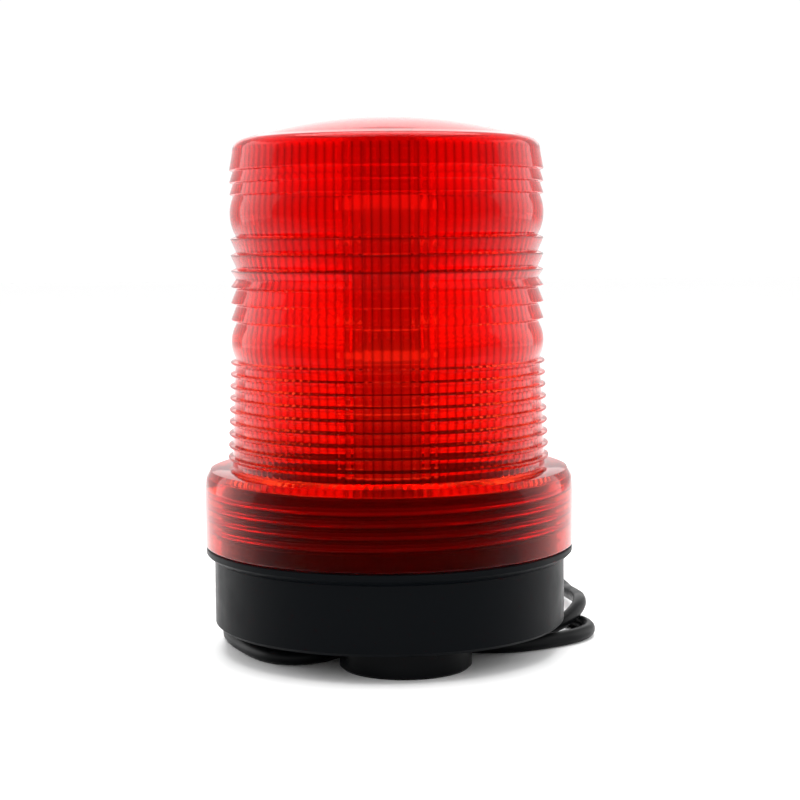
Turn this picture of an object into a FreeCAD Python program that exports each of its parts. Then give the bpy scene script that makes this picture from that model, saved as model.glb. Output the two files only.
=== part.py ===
import FreeCAD, Part

import math
import os

# Magnet-mount LED strobe beacon. Millimetres, +Z up, origin on the lens axis at the magnets' resting plane.
# The red lens screws down over a threaded neck on the black base. The lead leaves the back of the base,
# winds round the magnets under it and ends in a coil and a vehicle power plug behind it.

V = FreeCAD.Vector
UP = V(0, 0, 1)

# Base housing
WALL_R = 47.6
WALL_T = 2.4
RIM_Z = 7.0
LIP_R = 49.8
LIP_Z = 26.0
LIP_TOP_Z = 28.3
NECK_R = 45.2
NECK_TOP_Z = 45.4
DECK_T = 2.4

# Screw thread between the neck and the lens skirt
PITCH = 3.0
THREAD_Z = 31.0
NECK_TURNS = 4.2
SKIRT_TURNS = 4.2
RIDGE_BASE = 1.4
RIDGE_CREST = 0.5
NECK_RIDGE_H = 1.3
SKIRT_RIDGE_H = 1.7
RIDGE_SINK = 0.4

# Lens
SKIRT_R = 50.0
SKIRT_T = 2.5
SKIRT_Z = 28.6
COLLAR_TOP_Z = 49.9
COLLAR_FILLET = 3.8
CEILING_Z = 47.0
LENS_IN_R = 39.4
FLUTE_TOP_Z = 135.0
DOME_TOP_Z = 143.5
DOME_R = 127.0
DOME_EDGE_R = 38.0
SHOULDER_R = 41.3
SHOULDER_Z = 134.0
DOME_T = 2.3

# Ribs of the lens side, each named by the height of its tip
BEAD_Z = 52.5
BEAD_STEP = 3.19
BEADS = 9
BEAD_OUT = 1.1
BEAD_HALF = 0.75
FOOT_R = 42.4
BAND_R = 41.2
TIP_R = 42.15
VALLEY_R = 40.7
SKIRT_RIB_TIPS = (89.5, 94.0, 98.3)
CROWN_RIB_TIPS = (102.6, 106.8, 111.1)
TOP_RIB_TIPS = (122.8, 126.0, 129.3)
TOP_RIB_VALLEY_R = 41.25

# Magnets: three steel cups, each with a ferrite ring and one screw
MAGNET_NAMES = ("front", "right", "left")
MAGNET_R = 17.25
MAGNET_PATTERN_R = 26.0
MAGNET_FIRST = -80.8
MAGNET_H = 7.3
CUP_WALL = 1.5
CUP_TOP = 1.6
FERRITE_HOLE_R = 4.6
M4_R = 2.0
M4_HEAD_R = 3.7
M4_HEAD_H = 2.4

# Bottom plate and its screws
PLATE_R = 44.9
PLATE_Z = 7.3
PLATE_T = 1.2
POST_R = 3.6
POST_PATTERN_R = 39.0
M3_R = 1.5
M3_HEAD_R = 2.8
M3_HEAD_H = 1.6

# Driver board inside the base
BOARD_R = 36.0
BOARD_Z = 30.0
BOARD_T = 1.6
BOARD_POST_PATTERN_R = 30.0
TERMINAL_R = 24.0
TERMINAL_H = 8.0
CORE_R = 0.7
CORE_GAP = 5.0

# LED tower: a hexagonal core with boards on its six faces, in tiers between shelf plates
CORE_FLAT = 8.6
TOWER_BOARD_T = 1.2
TOWER_BOARD_W = 9.6
TIER_PITCH = 17.75
TIERS = 5
TOWER_TOP_Z = 134.8
SHELF_T = 1.0
SHELF_FLAT = 11.2
LED_W = 2.8
LED_H = 3.0
LED_T = 0.8
LED_COLUMN_X = 3.0
LED_ROWS = 3
TOWER_TURN = 8.0
CORE_HOLE_R = 5.5
FOOT_R_OUT = 13.0
PEG_R = 1.2
PEG_PATTERN_R = 10.0
WIRE_ANGLES = (90, 270)
WIRE_PATTERN_R = 3.8
WIRE_HOLE_R = 1.1
NUT_H = 2.4

# Lead, gland, coil and plug
CORD_D = 4.0
CORD_R = CORD_D / 2
GLAND_ANGLE = 75.0
GLAND_Z = 15.0
GLAND_LENGTH = 20.0
GLAND_FLANGE_R = 6.0
COIL_X = 9.0
COIL_Y = 98.0
COIL_MID_R = 22.0
COIL_HALF = 4.0
COIL_Z = 1.0
COIL_H = 16.2
TIE_T = 0.9
PLUG_X = -42.6
GRIP_R = 12.0
PLUG_Z = GRIP_R
BARREL_R = 10.4
RELIEF_Y = 134.0
GRIP_Y = 114.0
BARREL_Y = 92.0
RING_Y = 60.0
TIP_Y = 54.0
TIP_OUT = 6.0


def save(name, shape):
    """Writes one node."""
    shape.exportStep("parts/" + name + ".step")
    print(name, len(shape.Solids), "solids", round(shape.Volume, 1), "mm3", shape.isValid())


def cylinder(radius, height, base, direction=UP):
    return Part.makeCylinder(radius, height, base, direction)


def tube(outer, inner, height, base, direction=UP):
    """A plain ring or sleeve."""
    return cylinder(outer, height, base, direction).cut(cylinder(inner, height, base, direction))


def polar(radius, angle, z=0.0):
    """A point at a radius and an angle in degrees about the main axis."""
    return V(radius * math.cos(math.radians(angle)), radius * math.sin(math.radians(angle)), z)


def lathe(points):
    """Revolves a closed outline of (radius, height) points about the main axis."""
    corners = [V(r, 0, z) for r, z in points]
    face = Part.Face(Part.makePolygon(corners + [corners[0]]))
    return face.revolve(V(0, 0, 0), UP, 360)


def lathe_edges(edges):
    """Revolves a closed outline of lines and arcs about the main axis."""
    face = Part.Face(Part.Wire(edges))
    return face.revolve(V(0, 0, 0), UP, 360)


def thread_ridge(root_r, height, turns, start_z, outward, sink):
    """A helical ridge of trapezoid section, with its root sunk into the wall that carries it."""
    side = 1 if outward else -1
    helix = Part.makeHelix(PITCH, PITCH * turns, root_r)
    root_x = root_r - side * sink
    crest_x = root_r + side * height
    slope = (RIDGE_BASE - RIDGE_CREST) / 2 / height
    root_half = RIDGE_BASE / 2 + slope * sink
    corners = [
        V(root_x, 0, -root_half),
        V(crest_x, 0, -RIDGE_CREST / 2),
        V(crest_x, 0, RIDGE_CREST / 2),
        V(root_x, 0, root_half),
    ]
    profile = Part.makePolygon(corners + [corners[0]])
    sweep = Part.Wire(helix.Edges).makePipeShell([profile], True, True)
    sweep.translate(V(0, 0, start_z))
    return sweep


def hexagon(flat, height, z):
    """A hexagonal prism with one flat facing -Y."""
    corner_r = flat / math.cos(math.radians(30))
    corners = [polar(corner_r, 60 * k, z) for k in range(6)]
    return Part.Face(Part.makePolygon(corners + [corners[0]])).extrude(V(0, 0, height))


def group(solids):
    """Several loose solids of one node."""
    return Part.makeCompound(solids)


def turned(shape):
    """The tower's hexagon stands turned a little about the axis."""
    shape.rotate(V(0, 0, 0), UP, TOWER_TURN)
    return shape


# ---------------------------------------------------------------- base housing


def magnet_centre(index, z=0.0):
    return polar(MAGNET_PATTERN_R, MAGNET_FIRST + 120 * index, z)


def post_centres(z):
    """The three plate posts stand between the magnets."""
    return [polar(POST_PATTERN_R, MAGNET_FIRST + 60 + 120 * k, z) for k in range(3)]


def board_post_centres(z):
    return [polar(BOARD_POST_PATTERN_R, 45 + 90 * k, z) for k in range(4)]


def base_housing():
    inner_r = WALL_R - WALL_T
    neck_in_r = NECK_R - WALL_T
    deck_z = NECK_TOP_Z - DECK_T
    body = lathe(
        [
            (inner_r, RIM_Z),
            (WALL_R - 0.8, RIM_Z),
            (WALL_R, RIM_Z + 0.8),
            (WALL_R, LIP_Z - 1.0),
            (LIP_R - 0.7, LIP_Z),
            (LIP_R, LIP_Z + 0.7),
            (LIP_R, LIP_TOP_Z - 0.3),
            (LIP_R - 0.3, LIP_TOP_Z),
            (NECK_R, LIP_TOP_Z),
            (NECK_R, NECK_TOP_Z - 0.6),
            (NECK_R - 0.6, NECK_TOP_Z),
            (M3_R, NECK_TOP_Z),
            (M3_R, deck_z),
            (neck_in_r, deck_z),
            (neck_in_r, LIP_Z - 1.0),
            (inner_r, LIP_Z - 3.4),
        ]
    )
    body = body.fuse(thread_ridge(NECK_R, NECK_RIDGE_H, NECK_TURNS, THREAD_Z, True, RIDGE_SINK))
    for centre in post_centres(PLATE_Z + PLATE_T):
        post = cylinder(POST_R, deck_z + 0.5 - centre.z, centre)
        body = body.fuse(post)
    for centre in board_post_centres(BOARD_Z + BOARD_T):
        body = body.fuse(cylinder(POST_R, deck_z + 0.5 - centre.z, centre))
    for centre in post_centres(PLATE_Z + PLATE_T):
        body = body.cut(cylinder(M3_R, 12, centre))
    for centre in board_post_centres(BOARD_Z + BOARD_T):
        body = body.cut(cylinder(M3_R, 8, centre))
    outward = polar(1, GLAND_ANGLE)
    start = polar(WALL_R - 8, GLAND_ANGLE, GLAND_Z)
    body = body.cut(cylinder(4.0, 16, start, outward))
    for angle in (0, 180):
        body = body.cut(cylinder(PEG_R + 0.1, DECK_T, polar(PEG_PATTERN_R, angle + TOWER_TURN, deck_z)))
    for angle in WIRE_ANGLES:
        body = body.cut(cylinder(WIRE_HOLE_R, DECK_T, polar(WIRE_PATTERN_R, angle + TOWER_TURN, deck_z)))
    return body


def bottom_plate():
    plate = cylinder(PLATE_R, PLATE_T, V(0, 0, PLATE_Z))
    for centre in post_centres(PLATE_Z):
        plate = plate.cut(cylinder(M3_R + 0.15, PLATE_T, centre))
    for k in range(3):
        plate = plate.cut(cylinder(M4_R + 0.15, PLATE_T, magnet_centre(k, PLATE_Z)))
    return plate


def plate_screws():
    """Pan-head screws that hold the bottom plate to the posts."""
    screws = []
    for centre in post_centres(PLATE_Z - M3_HEAD_H):
        head = cylinder(M3_HEAD_R, M3_HEAD_H, centre)
        slot = Part.makeBox(0.8, 2 * M3_HEAD_R, 0.7, centre - V(0.4, M3_HEAD_R, 0))
        shank = cylinder(M3_R - 0.05, 9.5, centre + V(0, 0, M3_HEAD_H))
        screws.append(head.cut(slot).fuse(shank))
    return group(screws)


# ---------------------------------------------------------------- magnets


def magnet_cup(index):
    """A pressed steel pot, open at the bottom, with a rolled lower edge."""
    centre = magnet_centre(index)
    cup = lathe(
        [
            (MAGNET_R - CUP_WALL, 0.0),
            (MAGNET_R - 0.6, 0.0),
            (MAGNET_R, 0.6),
            (MAGNET_R, MAGNET_H - 1.2),
            (MAGNET_R - 1.2, MAGNET_H),
            (M4_R + 0.1, MAGNET_H),
            (M4_R + 0.1, MAGNET_H - CUP_TOP),
            (MAGNET_R - CUP_WALL, MAGNET_H - CUP_TOP),
        ]
    )
    cup.translate(centre)
    return cup


def magnet_ferrite(index):
    centre = magnet_centre(index)
    ring = lathe(
        [
            (FERRITE_HOLE_R + 0.4, 0.0),
            (MAGNET_R - CUP_WALL - 0.5, 0.0),
            (MAGNET_R - CUP_WALL - 0.1, 0.4),
            (MAGNET_R - CUP_WALL - 0.1, MAGNET_H - CUP_TOP),
            (FERRITE_HOLE_R, MAGNET_H - CUP_TOP),
            (FERRITE_HOLE_R, 0.4),
        ]
    )
    ring.translate(centre)
    return ring


def magnet_screws():
    """Cross-recess screws up through each pot and the bottom plate."""
    screws = []
    for k in range(3):
        seat = magnet_centre(k, MAGNET_H - CUP_TOP - M4_HEAD_H)
        head = cylinder(M4_HEAD_R, M4_HEAD_H, seat)
        for angle in (0, 90):
            blade = Part.makeBox(4.4, 0.9, 1.3, seat - V(2.2, 0.45, 0))
            blade.rotate(seat, UP, angle)
            head = head.cut(blade)
        screws.append(head.fuse(cylinder(M4_R - 0.05, 9.0, seat + V(0, 0, M4_HEAD_H))))
    return group(screws)


def magnet_nuts():
    nuts = []
    for k in range(3):
        nut = hexagon(3.5, 3.2, PLATE_Z + PLATE_T)
        nut.translate(magnet_centre(k))
        nuts.append(nut.cut(cylinder(M4_R, 3.2, magnet_centre(k, PLATE_Z + PLATE_T))))
    return group(nuts)


# ---------------------------------------------------------------- electronics in the base


def driver_board():
    board = cylinder(BOARD_R, BOARD_T, V(0, 0, BOARD_Z))
    for centre in board_post_centres(BOARD_Z):
        board = board.cut(cylinder(M3_R + 0.15, BOARD_T, centre))
    for centre in post_centres(BOARD_Z):
        board = board.cut(cylinder(POST_R + 0.6, BOARD_T, centre))
    board = board.cut(cylinder(3.0, BOARD_T, V(0, 0, BOARD_Z)))
    return board


def driver_screws():
    screws = []
    for centre in board_post_centres(BOARD_Z - M3_HEAD_H):
        head = cylinder(M3_HEAD_R, M3_HEAD_H, centre)
        slot = Part.makeBox(2 * M3_HEAD_R, 0.8, 0.7, centre - V(M3_HEAD_R, 0.4, 0))
        screws.append(head.cut(slot).fuse(cylinder(M3_R - 0.05, 6, centre + V(0, 0, M3_HEAD_H))))
    return group(screws)


def driver_capacitors():
    """Three electrolytic cans hang under the board."""
    cans = []
    for angle, radius, height in ((-35, 5.0, 12.0), (5, 4.0, 11.0), (160, 4.0, 11.0)):
        cans.append(cylinder(radius, height, polar(18.5, angle, BOARD_Z - height)))
    return group(cans)


def driver_chips():
    """Regulator, controller and transistors, soldered under the board."""
    chips = []
    sizes = ((9.0, 6.5, 2.2, -8, 12), (10.0, 6.0, 1.8, -12, -10), (6.5, 6.0, 2.3, 4, -20), (6.5, 6.0, 2.3, 20, 14))
    for width, depth, height, x, y in sizes:
        chips.append(Part.makeBox(width, depth, height, V(x - width / 2, y - depth / 2, BOARD_Z - height)))
    return group(chips)


def lead_terminal():
    """The block that takes the two cores of the lead."""
    block = Part.makeBox(10, 7, TERMINAL_H, V(-5, -3.5, 0))
    for x in (-CORE_GAP / 2, CORE_GAP / 2):
        block = block.cut(cylinder(1.2, 4, V(x, 0, 0)))
    block.rotate(V(0, 0, 0), UP, GLAND_ANGLE - 90)
    block.translate(polar(TERMINAL_R, GLAND_ANGLE, BOARD_Z - TERMINAL_H))
    return block


def along_gland(radius, sideways, z):
    """A route point at a distance from the axis along the gland's direction, and to one side of it."""
    point = polar(radius, GLAND_ANGLE) + polar(sideways, GLAND_ANGLE - 90)
    return (point.x, point.y, z)


def lead_cores():
    """The two cores of the lead, from the gland up into the terminal block."""
    cores = []
    for side in (-1, 1):
        at_gland = side * 1.1
        at_block = side * CORE_GAP / 2
        route = [
            along_gland(WALL_R - 5.4, at_gland, GLAND_Z),
            along_gland(WALL_R - 11.0, at_gland * 1.1, GLAND_Z - 0.4),
            along_gland(TERMINAL_R + 6.6, at_block * 0.8, GLAND_Z - 0.2),
            along_gland(TERMINAL_R + 1.2, at_block, GLAND_Z + 2.2),
            along_gland(TERMINAL_R, at_block, BOARD_Z - TERMINAL_H + 3.6),
        ]
        cores.append(round_tube(route, CORE_R)[0])
    return group(cores)


def tower_wires():
    """Two insulated wires from the driver board through the deck to the foot of the tower."""
    wires = []
    for angle in WIRE_ANGLES:
        low = polar(WIRE_PATTERN_R, angle, BOARD_Z + BOARD_T)
        wires.append(cylinder(CORE_R, tower_bottom() + 6.0 - low.z, low))
    return group(wires)


# ---------------------------------------------------------------- LED tower


def tier_floor(index):
    """Height of the underside of a tier's boards; tier 0 is the top one."""
    return TOWER_TOP_Z - TIER_PITCH * (index + 1) + SHELF_T


def tower_bottom():
    return TOWER_TOP_Z - TIER_PITCH * TIERS


def tower_foot():
    """A disc with two pegs that sit in the deck, so the tower can't turn."""
    foot = cylinder(FOOT_R_OUT, tower_bottom() - NECK_TOP_Z, V(0, 0, NECK_TOP_Z))
    for angle in (0, 180):
        peg = cylinder(PEG_R, DECK_T - 0.4, polar(PEG_PATTERN_R, angle, NECK_TOP_Z - DECK_T + 0.4))
        foot = foot.fuse(peg)
    foot = foot.cut(cylinder(M3_R, 10, V(0, 0, NECK_TOP_Z)))
    for angle in WIRE_ANGLES:
        foot = foot.cut(cylinder(WIRE_HOLE_R, 10, polar(WIRE_PATTERN_R, angle, NECK_TOP_Z)))
    return foot


def tower_core():
    core = hexagon(CORE_FLAT, TOWER_TOP_Z - tower_bottom(), tower_bottom())
    return core.cut(cylinder(CORE_HOLE_R, TOWER_TOP_Z - tower_bottom(), V(0, 0, tower_bottom())))


def tower_shelf(index):
    """A pale plate between two tiers; number TIERS is the lowest one."""
    low = TOWER_TOP_Z - TIER_PITCH * index
    if index == TIERS:
        low = tower_bottom()
    ring = hexagon(SHELF_FLAT, SHELF_T, low)
    return ring.cut(hexagon(CORE_FLAT + 0.05, SHELF_T, low))


def tier_boards(index):
    low = tier_floor(index)
    boards = []
    for face in range(6):
        board = Part.makeBox(
            TOWER_BOARD_W,
            TOWER_BOARD_T,
            TIER_PITCH - SHELF_T - 0.1,
            V(-TOWER_BOARD_W / 2, -CORE_FLAT - TOWER_BOARD_T, low + 0.05),
        )
        board.rotate(V(0, 0, 0), UP, 60 * face)
        boards.append(board)
    return group(boards)


def tier_leds(index):
    """Two columns of surface-mount packages on each board."""
    low = tier_floor(index)
    step = (TIER_PITCH - SHELF_T) / LED_ROWS
    packages = []
    for face in range(6):
        for row in range(LED_ROWS):
            for x in (-LED_COLUMN_X, LED_COLUMN_X):
                z = low + step * (row + 0.5) - LED_H / 2
                y = -CORE_FLAT - TOWER_BOARD_T - LED_T
                package = Part.makeBox(LED_W, LED_T, LED_H, V(x - LED_W / 2, y, z))
                package.rotate(V(0, 0, 0), UP, 60 * face)
                packages.append(package)
    return group(packages)


def tower_cap():
    cap = hexagon(SHELF_FLAT, 1.2, TOWER_TOP_Z)
    return cap.cut(cylinder(M3_R + 0.1, 1.2, V(0, 0, TOWER_TOP_Z)))


def tower_rod():
    """The long screw that clamps cap, tiers and foot to the deck."""
    head = cylinder(M3_HEAD_R, 1.8, V(0, 0, TOWER_TOP_Z + 1.2))
    head = head.cut(Part.makeBox(2 * M3_HEAD_R, 0.8, 0.8, V(-M3_HEAD_R, -0.4, TOWER_TOP_Z + 2.2)))
    low = NECK_TOP_Z - DECK_T - NUT_H - 1.2
    return head.fuse(cylinder(M3_R - 0.1, TOWER_TOP_Z + 1.2 - low, V(0, 0, low)))


def tower_nut():
    low = NECK_TOP_Z - DECK_T - NUT_H
    nut = hexagon(2.75, NUT_H, low)
    return nut.cut(cylinder(M3_R, NUT_H, V(0, 0, low)))


# ---------------------------------------------------------------- lens and gasket


def line(a, b):
    return Part.makeLine(V(a[0], 0, a[1]), V(b[0], 0, b[1]))


def arc(a, middle, b):
    """An arc through three (radius, height) points."""
    return Part.Arc(V(a[0], 0, a[1]), V(middle[0], 0, middle[1]), V(b[0], 0, b[1])).toShape()


class Outline:
    """A chain of edges in the half plane of the axis."""

    def __init__(self, start):
        self.start = start
        self.here = start
        self.edges = []

    def to(self, point):
        self.edges.append(line(self.here, point))
        self.here = point

    def through(self, middle, point):
        self.edges.append(arc(self.here, middle, point))
        self.here = point

    def close(self):
        self.to(self.start)
        return self.edges


def bead_wall_r(z):
    """The wall between the beads leans in from the collar to the lower lens band."""
    share = (z - COLLAR_TOP_Z) / (79.2 - COLLAR_TOP_Z)
    return FOOT_R + (BAND_R - FOOT_R) * share


def lens():
    shape = Outline((SKIRT_R - SKIRT_T, SKIRT_Z))
    shape.to((SKIRT_R - 0.3, SKIRT_Z))
    shape.to((SKIRT_R, SKIRT_Z + 0.3))
    shape.to((SKIRT_R, COLLAR_TOP_Z - COLLAR_FILLET))
    bend = COLLAR_FILLET * (1 - math.sqrt(0.5))
    shape.through((SKIRT_R - bend, COLLAR_TOP_Z - bend), (SKIRT_R - COLLAR_FILLET, COLLAR_TOP_Z))
    shape.to((bead_wall_r(COLLAR_TOP_Z), COLLAR_TOP_Z))
    for k in range(BEADS):
        z = BEAD_Z + BEAD_STEP * k
        shape.to((bead_wall_r(z - BEAD_HALF), z - BEAD_HALF))
        shape.through((bead_wall_r(z) + BEAD_OUT, z), (bead_wall_r(z + BEAD_HALF), z + BEAD_HALF))
    shape.to((BAND_R, 79.2))
    shape.through((TIP_R, 83.5), (BAND_R - 0.1, 87.8))
    for tip in SKIRT_RIB_TIPS:
        shape.to((VALLEY_R, tip - 0.7))
        shape.to((TIP_R, tip))
    shape.to((VALLEY_R, 100.4))
    for tip in CROWN_RIB_TIPS:
        shape.to((TIP_R, tip))
        shape.to((VALLEY_R - 0.1, tip + 0.7))
    shape.through((TIP_R, 117.2), (TOP_RIB_VALLEY_R, 122.3))
    for tip in TOP_RIB_TIPS:
        shape.to((TOP_RIB_VALLEY_R, tip - 0.4))
        shape.to((TIP_R, tip))
    shape.to((SHOULDER_R, SHOULDER_Z))
    edge_z = DOME_TOP_Z - DOME_R + math.sqrt(DOME_R**2 - DOME_EDGE_R**2)
    shape.through((SHOULDER_R - 0.95, SHOULDER_Z + 2.6), (DOME_EDGE_R, edge_z))
    half_z = DOME_TOP_Z - DOME_R + math.sqrt(DOME_R**2 - (DOME_EDGE_R / 2) ** 2)
    shape.through((DOME_EDGE_R / 2, half_z), (0.0, DOME_TOP_Z))
    shape.to((0.0, DOME_TOP_Z - DOME_T))
    shape.through((DOME_EDGE_R / 2, half_z - DOME_T), (DOME_EDGE_R - 1.6, edge_z - DOME_T + 0.3))
    shape.to((LENS_IN_R, FLUTE_TOP_Z - 1.2))
    shape.to((LENS_IN_R, CEILING_Z))
    shape.to((SKIRT_R - SKIRT_T, CEILING_Z))
    body = lathe_edges(shape.close())
    ridge = thread_ridge(
        SKIRT_R - SKIRT_T, SKIRT_RIDGE_H, SKIRT_TURNS, THREAD_Z + PITCH / 2, False, RIDGE_SINK
    )
    return body.fuse(ridge)


def lens_gasket():
    """A flat silicone ring, clamped between the neck and the lens's inner step."""
    return lathe([(41.4, 45.55), (44.4, 45.55), (44.4, 46.85), (41.4, 46.85)])


# ---------------------------------------------------------------- gland and lead


def cord_gland():
    """Moulded strain relief: a flange each side of the wall and a ribbed taper outside it."""
    outer = [
        (0.0, 0.0),
        (GLAND_FLANGE_R - 1.2, 0.0),
        (GLAND_FLANGE_R - 1.2, 2.4),
        (3.9, 2.4),
        (3.9, 5.4),
        (GLAND_FLANGE_R, 5.4),
        (GLAND_FLANGE_R, 7.0),
        (4.6, 8.0),
    ]
    taper_end = GLAND_LENGTH + 5.4
    ribs = 4
    step = (taper_end - 9.4) / ribs
    for k in range(ribs):
        z = 8.0 + step * k
        r = 4.6 - 1.4 * k / ribs
        outer += [(r, z + 0.6 * step), (r - 0.55, z + 0.6 * step), (r - 0.55, z + 0.95 * step), (r - 0.3, z + step)]
    outer += [(3.0, taper_end), (0.0, taper_end)]
    relief = lathe(outer)
    relief.rotate(V(0, 0, 0), V(0, 1, 0), 90)
    relief.rotate(V(0, 0, 0), UP, GLAND_ANGLE)
    relief.translate(polar(WALL_R - 5.4, GLAND_ANGLE, GLAND_Z))
    return relief


GLAND_END = polar(WALL_R + GLAND_LENGTH, GLAND_ANGLE, GLAND_Z)

# The lead's route from the gland: it turns back towards the front, crosses over itself, goes in under the rim
# and round the right-hand magnet, out in a bend beside the base, in again behind the front magnet, and round
# the left-hand one to the coil.
LEAD_ROUTE = [
    (GLAND_END.x, GLAND_END.y, GLAND_END.z),
    (19.8, 73.6, 14.8),
    (25.4, 80.2, 13.4),
    (33.6, 82.8, 11.0),
    (42.0, 80.4, 8.2),
    (48.2, 74.2, 5.8),
    (51.6, 65.6, 4.2),
    (53.0, 56.4, 3.9),
    (53.6, 46.6, 4.5),
    (54.4, 36.6, 5.6),
    (54.7, 27.0, 6.6),
    (53.7, 16.8, 6.6),
    (49.4, 8.6, 4.4),
    (42.4, 3.4, 2.3),
    (33.6, 0.2, 2.0),
    (23.6, -4.1, 2.0),
    (13.0, -3.2, 2.0),
    (4.1, 3.0, 2.0),
    (-0.4, 12.8, 2.0),
    (0.5, 23.6, 2.0),
    (6.7, 32.4, 2.0),
    (16.5, 37.0, 2.0),
    (27.3, 36.0, 2.0),
    (36.0, 31.2, 2.0),
    (43.6, 26.2, 2.0),
    (50.2, 20.8, 2.0),
    (54.9, 14.2, 2.0),
    (55.6, 6.2, 2.0),
    (51.6, -1.0, 2.0),
    (45.4, -6.0, 2.0),
    (38.2, -10.8, 2.0),
    (29.8, -13.8, 2.0),
    (20.4, -12.4, 2.0),
    (11.3, -6.2, 2.0),
    (0.8, -4.9, 2.0),
    (-8.6, -9.2, 2.0),
    (-13.6, -16.6, 2.0),
    (-18.4, -23.2, 2.0),
    (-24.9, -25.7, 2.0),
    (-31.4, -23.3, 2.0),
    (-36.4, -16.4, 2.0),
    (-40.6, -7.4, 2.0),
    (-44.0, 1.8, 2.0),
    (-45.2, 11.4, 2.0),
    (-42.6, 20.6, 2.0),
    (-37.2, 29.0, 2.0),
    (-30.4, 37.2, 2.0),
    (-24.4, 46.2, 2.0),
    (-20.0, 56.0, 2.0),
    (-17.2, 66.0, 2.0),
    (-15.6, 75.4, 2.0),
    (-15.1, 83.6, 2.3),
    (-15.0, 90.6, 3.0),
]

# From the coil's top turn to the plug
TAIL_ROUTE = [
    (-15.0, 106.6, 15.0),
    (-15.2, 114.4, 13.9),
    (-15.1, 123.2, 9.8),
    (-15.2, 132.2, 5.4),
    (-15.1, 141.0, 2.6),
    (-15.2, 149.4, 2.0),
    (-20.2, 156.8, 2.0),
    (-28.8, 159.6, 2.4),
    (-37.3, 156.6, 4.4),
    (-42.5, 149.3, 7.8),
    (-42.7, 141.4, 11.0),
    (PLUG_X, RELIEF_Y, PLUG_Z),
]


def rounded_route(route):
    """Straight runs joined by tangent arcs, and the arcs' radii."""
    points = [V(*p) for p in route]
    edges = []
    radii = []
    last = points[0]
    for before, corner, after in zip(points, points[1:], points[2:]):
        run_in = (corner - before).Length
        run_out = (after - corner).Length
        way_in = (corner - before).normalize()
        way_out = (after - corner).normalize()
        half_turn = way_in.getAngle(way_out) / 2
        cut = 0.45 * min(run_in, run_out)
        radius = cut / math.tan(half_turn)
        start = corner - way_in * cut
        end = corner + way_out * cut
        towards = (way_out - way_in).normalize()
        centre_gap = radius / math.cos(half_turn) - radius
        edges.append(Part.LineSegment(last, start).toShape())
        edges.append(Part.Arc(start, corner + towards * centre_gap, end).toShape())
        radii.append(radius)
        last = end
    edges.append(Part.LineSegment(last, points[-1]).toShape())
    return Part.Wire(edges), radii


def round_tube(route, radius):
    """A solid tube along a route, with its path and the radii of its bends."""
    path, radii = rounded_route(route)
    start = V(*route[0])
    way = (V(*route[1]) - start).normalize()
    circle = Part.Wire(Part.makeCircle(radius, start, way))
    return path.makePipeShell([circle], True, True), path, radii


def cord_tube(name, route):
    """One stretch of the lead, with its measures printed."""
    solid, path, radii = round_tube(route, CORD_R)
    expected = math.pi * CORD_R**2 * path.Length
    print(name, "length", round(path.Length, 1), "volume over expected", round(solid.Volume / expected, 4))
    print(name, "radii", [round(r, 1) for r in radii])
    return solid


def cord_coil():
    """The closed outer shape of the wound part of the lead."""
    inner = COIL_MID_R - COIL_HALF
    outer = COIL_MID_R + COIL_HALF
    ring = lathe(
        [
            (inner, 1.2),
            (inner + 1.2, 0.0),
            (outer - 1.2, 0.0),
            (outer, 1.2),
            (outer, COIL_H - 1.2),
            (outer - 1.2, COIL_H),
            (inner + 1.2, COIL_H),
            (inner, COIL_H - 1.2),
        ]
    )
    ring.translate(V(COIL_X, COIL_Y, COIL_Z))
    return ring


def coil_tie():
    """A flat strap round the bundle, on the side away from the base."""
    width = 5.0
    inner = COIL_MID_R - COIL_HALF
    outer = COIL_MID_R + COIL_HALF
    corner = V(inner - TIE_T, -width / 2, COIL_Z - TIE_T)
    outside = Part.makeBox(outer - inner + 2 * TIE_T, width, COIL_H + 2 * TIE_T, corner)
    inside = Part.makeBox(outer - inner, width, COIL_H, V(inner, -width / 2, COIL_Z))
    band = outside.cut(inside)
    band.rotate(V(0, 0, 0), UP, 35)
    band.translate(V(COIL_X, COIL_Y, 0))
    return band


# ---------------------------------------------------------------- plug


def plug_lathe(points):
    """Revolves (radius, y) points about the plug's axis."""
    shape = lathe(points)
    shape.rotate(V(0, 0, 0), V(1, 0, 0), -90)
    shape.translate(V(PLUG_X, 0, PLUG_Z))
    return shape


def side_slot(side):
    """The window in the barrel for one side contact."""
    return Part.makeBox(6.0, 24.0, 5.6, V(PLUG_X + side * 8.9 - 3.0, 66.0, PLUG_Z - 2.8))


def plug_body():
    body = plug_lathe(
        [
            (7.6, RING_Y),
            (BARREL_R - 0.4, RING_Y),
            (BARREL_R, RING_Y + 0.4),
            (BARREL_R, BARREL_Y),
            (GRIP_R - 0.8, BARREL_Y),
            (GRIP_R, BARREL_Y + 0.8),
            (GRIP_R, GRIP_Y - 3.0),
            (GRIP_R - 3.0, GRIP_Y),
            (4.6, GRIP_Y),
            (4.6, 102.0),
            (7.6, 102.0),
        ]
    )
    for side in (-1, 1):
        body = body.cut(side_slot(side))
    return body


def plug_relief():
    """Ribbed taper that carries the lead into the plug."""
    points = [(0.0, 104.0), (4.5, 104.0), (4.5, GRIP_Y)]
    ribs = 5
    step = (RELIEF_Y - 2.0 - GRIP_Y) / ribs
    for k in range(ribs):
        y = GRIP_Y + step * k
        r = 5.2 - 1.9 * k / ribs
        points += [(r, y), (r - 0.25, y + 0.62 * step), (r - 0.8, y + 0.62 * step), (r - 0.8, y + 0.999 * step)]
    points += [(3.0, RELIEF_Y - 2.0), (3.0, RELIEF_Y), (0.0, RELIEF_Y)]
    return plug_lathe(points)


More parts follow.
